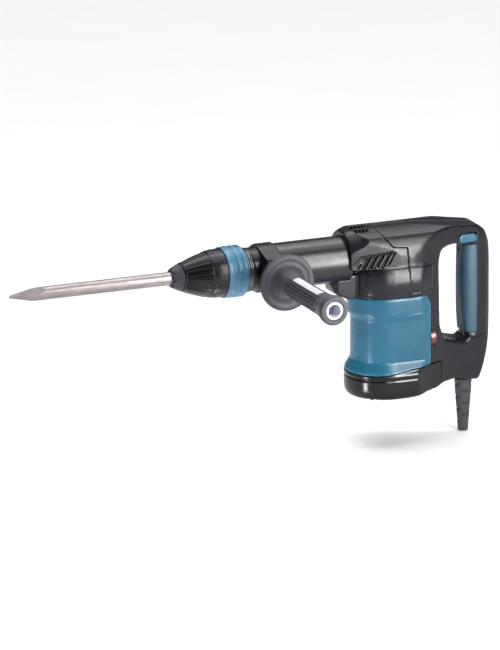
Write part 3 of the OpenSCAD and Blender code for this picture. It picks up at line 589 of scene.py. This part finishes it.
def make_grip():
    """Side grip sleeve: dished guard, and six panels with a raised border and two ribs each."""
    low, high = box_mm("grip_sleeve")
    length, guard = high[1] - low[1], high[2]
    outline = [(0, 19, 0.6), (0, 33, 2), (0.8, guard - 1, 1), (2.4, guard, 1.4), (4.8, guard, 1.6),
               (6.6, guard - 1.6, 2), (7.4, 33, 3), (5.9, 29, 3), (7.2, 25, 4), (11.2, 20.2, 3),
               (16.8, 17.2, 4), (21.8, 16.3, 5), (36, 16, 8), (86, 15.7, 20), (126, 16.3, 8),
               (140.8, 17.7, 6), (149.8, 19.7, 5), (154.8, 20.6, 3), (length - 1.6, 20.4, 1.4),
               (length, 19, 1.2), (length, 13.9, 0.5), (length - 1.4, 12.8, 0),
               (length - 12, 12.8, 0), (length - 12.4, 12.2, 0), (5, 12.2, 0), (5, 19, 0)]

    def relief(s, angle):
        local, panel = panels(angle, count=6, half_width=24, soft=1.6, offset=LABEL_ANGLE)
        across = np.abs(local)
        face = panel * inside(s, 29, 130, 1.5)
        well = inside(across, -1, 20, 1.6) * inside(s, 33, 126, 1.5)
        ribs = inside(across, 5.6, 10.8, 2.2) * inside(s, 36, 123, 2)
        valley = 0.75 * (1 - panel) * inside(s, 27, 132, 3)
        turn = (np.degrees(angle) - LABEL_ANGLE + 180) % 360 - 180
        label = inside(np.abs(turn), -1, 20.5, 1.2)
        cut = face * well * (1.3 - 1.0 * ribs) * (1 - label)
        seat = 0.9 * label * inside(s, 39.5, 122.5, 0.6)
        dish = 0.5 * inside(s, 7, 9.5, 1.5)
        return cut + valley + seat + dish
    centre = (0.5 * (low[0] + high[0]), high[1], 0)
    piece = turned("grip_rubber", outline, "-y", centre, relief, 432, 0.55, core=13.5)
    stand_for(piece, "grip_sleeve")


def make_label():
    """Blank film in its shallow seat, on the panel that faces the user."""
    low, high = box_mm("grip_sleeve")
    first, last, half_turn = 40.2, 121.8, 20
    sink, thick = 0.28, 0.45
    corner_along, corner_turn = 2, 4
    s, a = np.meshgrid(np.linspace(first, last, 42), np.linspace(-half_turn, half_turn, 15),
                       indexing="ij")
    face = np.interp(s, (36, 86, 126), (16, 15.7, 16.3)) - sink
    past_end = np.abs(s - (first + last) / 2) - (last - first) / 2 + corner_along
    past_side = np.abs(a) - half_turn + corner_turn
    corner = np.hypot(np.maximum(past_end, 0) / corner_along,
                      np.maximum(past_side, 0) / corner_turn)
    turn = np.radians(LABEL_ANGLE + a * (1 - 0.04 * np.clip(corner - 1, 0, 1)))
    layers = [np.stack([r * np.cos(turn), high[1] - s, r * np.sin(turn)], -1)
              for r in (face, face - thick)]
    rows, cols = s.shape
    top = np.arange(rows * cols).reshape(rows, cols)
    under = top + rows * cols
    faces = []
    for i in range(rows - 1):
        for j in range(cols - 1):
            faces.append((top[i, j], top[i + 1, j], top[i + 1, j + 1], top[i, j + 1]))
            faces.append((under[i, j], under[i, j + 1], under[i + 1, j + 1], under[i + 1, j]))
    rim = list(top[:, 0]) + list(top[-1, 1:]) + list(top[-2::-1, -1]) + list(top[0, -2:0:-1])
    for k, here in enumerate(rim):
        ahead = rim[(k + 1) % len(rim)]
        faces.append((here, here + rows * cols, ahead + rows * cols, ahead))
    centre = np.array([0.5 * (low[0] + high[0]), 0, 0])
    points = np.concatenate([layer.reshape(-1, 3) for layer in layers]) + centre
    piece = mesh_object("grip_film", points, [tuple(int(v) for v in f) for f in faces])
    stand_for(piece, "grip_label")


def make_front_ring():
    """Two thin turned rings between the chuck and the band."""
    low, high = box_mm("front_ring")
    length, r = high[0] - low[0], high[2]
    outline = [(0, 16, 0), (0, r - 2.2, 0.4), (1.6, r - 2.2, 0.3), (2.0, r - 0.4, 0.3),
               (3.0, r - 0.4, 0.3), (3.4, r - 2.0, 0.3), (4.6, r - 2.0, 0.3), (5.0, r, 0.3),
               (6.0, r, 0.3), (length, r - 0.5, 0.3), (length, 16, 0)]
    piece = turned("front_rings", outline, "+x", (low[0], 0, 0), None, 192, 0.5, core=24)
    stand_for(piece, "front_ring", slot="dark_steel")


def make_cord_guard():
    """Cord guard: collar, slow taper, a rib on each side and rows of flex windows."""
    low, high = box_mm("cord_guard")
    length, r = high[2] - low[2], 0.5 * (high[0] - low[0])
    bore = 4.05
    rows, row_pitch, row_length, first_row = 7, 8.4, 3.0, 13
    outline = [(0, bore, 0), (0, r, 0.5), (4, r, 0.4), (4, 9, 0), (12.9, 9, 0),
               (12.9, r - 0.4, 0.6), (14.1, r, 1), (26.7, r - 0.6, 8), (71.7, 8, 20),
               (length - 1, 7.2, 0.8),
               (length, 6.4, 0.8), (length, bore, 0.4)]

    def relief(s, angle):
        windows = np.zeros_like(s)
        for k in range(rows):
            start = length - first_row - row_pitch * k
            side = panels(angle, count=2, half_width=34, soft=6, offset=90 * (k % 2))[1]
            windows = windows + side * inside(s, start - row_length, start, 0.7)
        return 1.5 * windows
    centre = (0.5 * (low[0] + high[0]), 0, high[2])
    piece = turned("cord_boot", outline, "-z", centre, relief, 160, 0.6, core=5)
    stand_for(piece, "cord_guard")


def make_base_screws():
    """Four small socket screws sunk under the base, clear of its rounded edge."""
    around = np.radians(np.arange(0, 360, 15))
    count = len(around)
    rings = ((2.9, 0.0), (2.9, -0.6), (2.6, -0.9), (1.5, -0.9), (1.4, -0.2))  # radius, height
    heads = ((282, 34, -191.1), (282, -34, -191.1), (346, 32, -188.5), (346, -32, -188.5))
    points, faces = [], []
    for x, y, z in heads:
        first = len(points)
        for r, height in rings:
            points += [(x + r * math.cos(a), y + r * math.sin(a), z + height) for a in around]
        for k in range(len(rings) - 1):
            for i in range(count):
                a, b = first + k * count + i, first + k * count + (i + 1) % count
                faces.append((a, a + count, b + count, b))
        socket = first + (len(rings) - 1) * count
        faces.append(tuple(first + i for i in range(count)))
        faces.append(tuple(socket + i for i in reversed(range(count))))
    stand_for(mesh_object("base_screw_heads", points, faces), "base_screws")


# ---- moulded shells ----

SEAM_GAP = 0.3                       # a point this close to a neighbour is on the seam
SHADE_FROM_DEPTH, SHADE_FADE_DEPTH = 0.3, 0.4     # painted shade starts in a shell's relief this deep, and is full that much deeper

def remeshed(name, node, voxel):
    """A copy of a CAD node with an even mesh of that voxel size."""
    copy = link(bpy.data.objects.new(name, frame["nodes"][node].data.copy()))
    remesh = copy.modifiers.new("even", "REMESH")
    remesh.mode = "VOXEL"
    remesh.voxel_size = voxel * MM
    evaluated = copy.evaluated_get(bpy.context.evaluated_depsgraph_get())
    mesh = bpy.data.meshes.new_from_object(evaluated)
    copy.modifiers.clear()
    copy.data = mesh
    return copy


def read_points(mesh):
    """Vertex positions in millimetres."""
    co = np.zeros(len(mesh.vertices) * 3, np.float32)
    mesh.vertices.foreach_get("co", co)
    return co.reshape(-1, 3).astype(float) / MM


def write_points(mesh, points):
    """Moves the vertices to points in millimetres."""
    mesh.vertices.foreach_set("co", (points * MM).astype(np.float32).ravel())
    mesh.update()


def relax(mesh, points, weight, voxel, radius):
    """Laplacian smoothing to about that radius, scaled by weight at each point."""
    edges = np.zeros(len(mesh.edges) * 2, np.int32)
    mesh.edges.foreach_get("vertices", edges)
    a, b = edges.reshape(-1, 2).T
    count = len(points)
    degree = np.maximum(np.bincount(a, minlength=count) + np.bincount(b, minlength=count), 1)
    passes = max(1, round(4 * radius ** 2 / voxel ** 2))
    for _ in range(passes):
        mean = np.empty_like(points)
        for k in range(3):
            mean[:, k] = np.bincount(a, points[b, k], count) + np.bincount(b, points[a, k], count)
        points = points + 0.5 * weight[:, None] * (mean / degree[:, None] - points)
    return points


def seam_weight(points, neighbours, reach):
    """0 next to a neighbouring shell, and 1 from reach millimetres away."""
    corners, faces = [], []
    for node in neighbours:
        mesh = frame["nodes"][node].data
        mesh.calc_loop_triangles()
        faces += [tuple(i + len(corners) for i in t.vertices) for t in mesh.loop_triangles]
        corners += [v.co.copy() for v in mesh.vertices]
    tree = BVHTree.FromPolygons(corners, faces)
    far = reach * MM
    distance = []
    for p in points * MM:
        hit = tree.find_nearest(Vector(p), far)[3]
        distance.append(far if hit is None else hit)
    return smooth(SEAM_GAP, reach, np.array(distance) / MM)


def read_normals(mesh):
    """Vertex normals."""
    normals = np.zeros(len(mesh.vertices) * 3, np.float32)
    mesh.vertex_normals.foreach_get("vector", normals)
    return normals.reshape(-1, 3).astype(float)


def shell(name, node, voxel, radius, edge_radius, neighbours=(), reach=5.0, crisp=None,
          relief=None, painted_shade=None):
    """A moulded shell: a CAD node's shape, faired to about radius, and to edge_radius at seams.

    Within reach of its neighbours, and where crisp(points) is 1, the shell keeps its shape.
    relief(points, normals) gives how far each point then moves out, in millimetres, and reliefs
    deeper than a third of a millimetre get painted shade; the last argument gives painted shade
    point by point.
    """
    piece = remeshed(name, node, voxel)
    mesh = piece.data
    points = read_points(mesh)
    weight = np.ones(len(points))
    if neighbours:
        weight = seam_weight(points, neighbours, reach)
    if crisp is not None:
        weight = weight * (1 - crisp(points))
    least = (edge_radius / radius) ** 2
    points = relax(mesh, points, least + (1 - least) * weight, voxel, radius)
    write_points(mesh, points)
    if relief is not None:
        normals = read_normals(mesh)
        height = relief(points, normals)
        write_points(mesh, points + height[:, None] * normals)
        # painted shade in creases and scored lines deeper than a third of a millimetre
        mark_recess_shade(mesh, (-height - SHADE_FROM_DEPTH) / SHADE_FADE_DEPTH)
    # painted shade given point by point, such as the handle band's neck and front face
    if painted_shade is not None:
        mark_recess_shade(mesh, painted_shade(points))
    shade(mesh, SHELL_SHARP)
    stand_for(piece, node)


CREASE_Z = -9.5      # scored line over the bulged band
BAND_LOW_Z = -46.5   # lower edge of the bulged band
BAND_END_X = 367     # where the band ends on the handle


def line(distance, width):
    """1 on a scored line of that width, falling to 0 half a millimetre away."""
    return 1 - smooth(width / 2, width / 2 + 0.5, np.abs(distance))


def side_faces(points, normals, least, half_width):
    """1 where a face looks sideways by more than least and is over half_width from the middle."""
    y = points[:, 1]
    outward = normals[:, 1] * np.sign(y)
    return smooth(least, least + 0.3, outward) * smooth(half_width, half_width + 6, np.abs(y))


def band_height(points):
    """The bulged band under the crease, which runs from the crank cover onto the handle."""
    x, y, z = points.T
    up = np.clip((z - BAND_LOW_Z) / (CREASE_Z - BAND_LOW_Z), 0, 1)
    bulge = np.sin(math.pi * up) ** 0.8
    middle_x, half_length = 316, 50
    crown = 1.3 + 0.7 * np.clip(1 - ((x - middle_x) / half_length) ** 2, 0, 1)
    ends = smooth(256, 272, x) * (1 - smooth(BAND_END_X - 0.6, BAND_END_X + 0.6, x))
    return crown * bulge * ends * smooth(20, 34, np.abs(y))


def cover_relief(points, normals):
    """Crank cover: bulged band, and the crease above it."""
    x, z = points[:, 0], points[:, 2]
    crease = line(z - CREASE_Z, 0.9) * smooth(254, 262, x)
    return side_faces(points, normals, 0.1, 28) * (band_height(points) - 0.7 * crease)


def handle_relief(points, normals):
    """Handle half: the end of the bulged band, with its lower and rear edge."""
    x, z = points[:, 0], points[:, 2]
    crease = line(z - CREASE_Z, 0.9) * (1 - smooth(BAND_END_X - 1, BAND_END_X + 1, x))
    lower_z = -45.5 + (x - 333) * 0.075
    lower = line(z - lower_z, 0.8) * (1 - smooth(BAND_END_X, BAND_END_X + 2, x))
    rear = line(x - BAND_END_X - 0.6, 0.6) * inside(z, -43, -10, 0.6)
    cut = 0.6 * (crease + lower) + 0.4 * rear
    return side_faces(points, normals, 0.1, 28) * (band_height(points) - cut)


def motor_relief(points, normals):
    """Motor housing: the side panel stands a little proud of the rounded front."""
    x, z = points[:, 0], points[:, 2]
    top = -79.5 + (x - 276) * 0.06
    panel = smooth(275.4, 277.2, x) * inside(z, -139.5, top, 1.2) * (1 - smooth(358, 361, x))
    front = (1 - smooth(272, 277, x)) * inside(z, -136, -82, 4)
    facing = smooth(0.2, 0.5, np.abs(normals[:, 1]) - normals[:, 0])
    return side_faces(points, normals, 0.0, 24) * 0.55 * panel - 0.3 * front * facing


def insert_relief(points, normals):
    """Soft grip insert: gently crowned between its ends."""
    low_z, height, back_x = -119.6, 124.2, 446
    belly = np.sin(math.pi * np.clip((points[:, 2] - low_z) / height, 0, 1)) ** 0.7
    facing = np.clip(-normals[:, 0], 0, 1) * 0.7 + np.abs(normals[:, 1])
    return 0.9 * belly * facing * (points[:, 0] < back_x)


def band_painted_shade(points):
    """Handle band: painted shade on its neck and flat front face, as dark as a relief's wells."""
    front_x, darkness = 124.3, 0.8
    return darkness * (1 - smooth(front_x, front_x + 0.7, points[:, 0]))


def cover_vents(points):
    """1 around the crank cover's vents and louvres, which stay crisp."""
    x, y, z = points.T
    top = inside(x, 258, 292, 3) * inside(np.abs(y), 0, 24, 2) * inside(z, 28, 50, 2)
    side = inside(x, 250, 311, 2) * inside(z, -15, 17, 2) * inside(np.abs(y), 26, 60, 2)
    return np.clip(0.95 * top + 0.9 * side, 0, 1)


def handle_details(points):
    """1 around the lever and dial windows, which stay crisp."""
    x, z = points[:, 0], points[:, 2]
    lever = inside(x, 412, 446, 2) * inside(z, 5, 24, 1)
    dial = inside(x, 364, 377, 1) * inside(z, -130, -98, 1)
    return np.clip(lever + dial, 0, 1)


def base_groove(points):
    """1 around the base's groove and its rear lower corner, which stay crisp."""
    x, z = points[:, 0], points[:, 2]
    corner = inside(x, 374, 388, 3) * inside(z, -192, -172, 3)
    return 0.95 * np.clip(inside(z, -167, -157, 2) + corner, 0, 1)


def make_shells():
    """The mouldings, with a finer mesh where they are small or have vents and creases."""
    coarse = 0.9
    fine = 0.65
    shell("front_cover", "crank_cover", fine, 1.5, 0.5,
          ("handle_left", "handle_right", "motor_housing", "barrel"), 5, cover_vents, cover_relief)
    shell("motor_shell", "motor_housing", coarse, 1.7, 0.6,
          ("crank_cover", "handle_left", "handle_right", "base_cover"), 5, None, motor_relief)
    shell("motor_base", "base_cover", coarse, 4.0, 0.6,
          ("motor_housing", "handle_left", "handle_right"), 5, base_groove)
    for side, other in (("left", "right"), ("right", "left")):
        shell("rear_handle_" + side, "handle_" + side, coarse, 3.0, 0.6,
              ("crank_cover", "motor_housing", "base_cover", "handle_" + other), 6, handle_details,
              handle_relief)
    shell("grip_insert", "soft_grip", 0.6, 2.0, 1.2, relief=insert_relief)
    shell("lever_cap", "switch_lever", 0.6, 1.2, 1.2)
    shell("band_clamp", "handle_band", 0.7, 0.7, 0.5, painted_shade=band_painted_shade)


# ---- camera, lights and floor ----

LENS_PIXELS = 20000               # the camera's distance in pixels, so perspective is very weak
PIXELS_PER_METRE = 745.6
IMAGE = (500, 650)
NOSE_PIXEL = (170, 278.5)         # where the frame's origin lies in the image
CAMERA_ANGLES = (-23.8, 15.43)    # azimuth and elevation
FLOOR_REACH = 30
FLOOR_GAP = 0.0005


def look_directions(azimuth, elevation):
    """Unit vectors towards a camera or light at that place, and to its image's right and up."""
    a, e = math.radians(azimuth), math.radians(elevation)
    back = Vector((math.sin(a) * math.cos(e), -math.cos(a) * math.cos(e), math.sin(e)))
    right = Vector((math.cos(a), math.sin(a), 0))
    return back, right, back.cross(right)


def make_camera():
    """A long lens from the front left, a little above."""
    back, right, up = look_directions(*CAMERA_ANGLES)
    offset = ((NOSE_PIXEL[0] - IMAGE[0] / 2) / PIXELS_PER_METRE,
              (IMAGE[1] / 2 - NOSE_PIXEL[1]) / PIXELS_PER_METRE)
    target = -(offset[0] * right + offset[1] * up)
    data = bpy.data.cameras.new("camera")
    data.sensor_width = 36
    data.lens = LENS_PIXELS / IMAGE[1] * data.sensor_width
    data.clip_start, data.clip_end = 1, 200
    camera = link(bpy.data.objects.new("camera", data))
    camera.location = target + back * (LENS_PIXELS / PIXELS_PER_METRE)
    camera.rotation_euler = back.to_track_quat("Z", "Y").to_euler()
    bpy.context.scene.camera = camera


def make_light(name, azimuth, elevation, distance, size, power, aim):
    """A soft box facing aim, or the object's middle. Lengths are in metres, power in watts."""
    back = look_directions(azimuth, elevation)[0]
    data = bpy.data.lights.new(name, "AREA")
    data.shape = "RECTANGLE"
    data.size, data.size_y = size
    data.energy = power
    light = link(bpy.data.objects.new(name, data))
    light.location = (aim or (cad_low + cad_high) / 2) + back * distance
    light.rotation_euler = back.to_track_quat("Z", "Y").to_euler()
    light.visible_camera = False
    return light


def make_sun(azimuth, elevation, strength, spread):
    """A soft sun, spread degrees wide, that lights the floor and the tops evenly."""
    back = look_directions(azimuth, elevation)[0]
    data = bpy.data.lights.new("broad_sun", "SUN")
    data.energy = strength
    data.angle = math.radians(spread)
    light = link(bpy.data.objects.new("broad_sun", data))
    light.rotation_euler = back.to_track_quat("Z", "Y").to_euler()


def make_lights():
    """A sun, a key box for the sides, two boxes that only glint in the band, and edge strips."""
    base_low, base_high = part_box("base_cover")
    base = Vector((base_low[0] + 0.053, 0, (base_low[2] + base_high[2]) / 2 - 0.01))
    band = Vector((0.3, -0.048, -0.03))
    make_sun(azimuth=150, elevation=74, strength=2.85, spread=70)
    for name, azimuth, elevation, distance, size, power, aim in (
            ("key_box", 29, 34, 1.6, (0.42, 0.85), 21, None),
            ("band_box", 24, 5, 0.5, (0.13, 0.25), 3.8, band),
            ("band_box_2", 2, 5, 0.5, (0.22, 0.25), 2.2, band),
            ("top_strip", 170, 68, 1.5, (1.6, 0.25), 7, None),
            ("base_strip", -71, -12, 0.26, (0.04, 0.05), 0.3, base),
            ("left_strip", -66, 20, 1.4, (0.1, 0.8), 1.4, None)):
        light = make_light(name, azimuth, elevation, distance, size, power, aim)
        light.visible_diffuse = aim is not band


def make_room():
    """A pale floor under the lowest point, and an even pale world."""
    floor_z = cad_low.z - FLOOR_GAP
    mesh = bpy.data.meshes.new("floor")
    corners = [(FLOOR_REACH * x, FLOOR_REACH * y, floor_z)
               for x, y in ((-1, -1), (1, -1), (1, 1), (-1, 1))]
    mesh.from_pydata(corners, [], [(0, 1, 2, 3)])
    floor = link(bpy.data.objects.new("floor", mesh))
    finish = Finish("floor_paper", (0.9, 0.9, 0.9), 0.85)
    finish.tint(finish.noise(90, 2), (0.88, 0.88, 0.885), 0.5)
    mesh.materials.append(finish.material)
    world = bpy.data.worlds.new("studio")
    world.use_nodes = True
    world.node_tree.nodes["Background"].inputs["Color"].default_value = (1, 1, 1, 1)
    world.node_tree.nodes["Background"].inputs["Strength"].default_value = 0.12
    bpy.context.scene.world = world
    bpy.context.scene.view_settings.view_transform = "Standard"


make_camera()
make_room()
make_lights()
dress_cad()
make_nose_cap()
make_release_cover()
make_change_ring()
make_front_ring()
make_barrel()
make_grip()
make_label()
make_cord_guard()
make_base_screws()
make_shells()
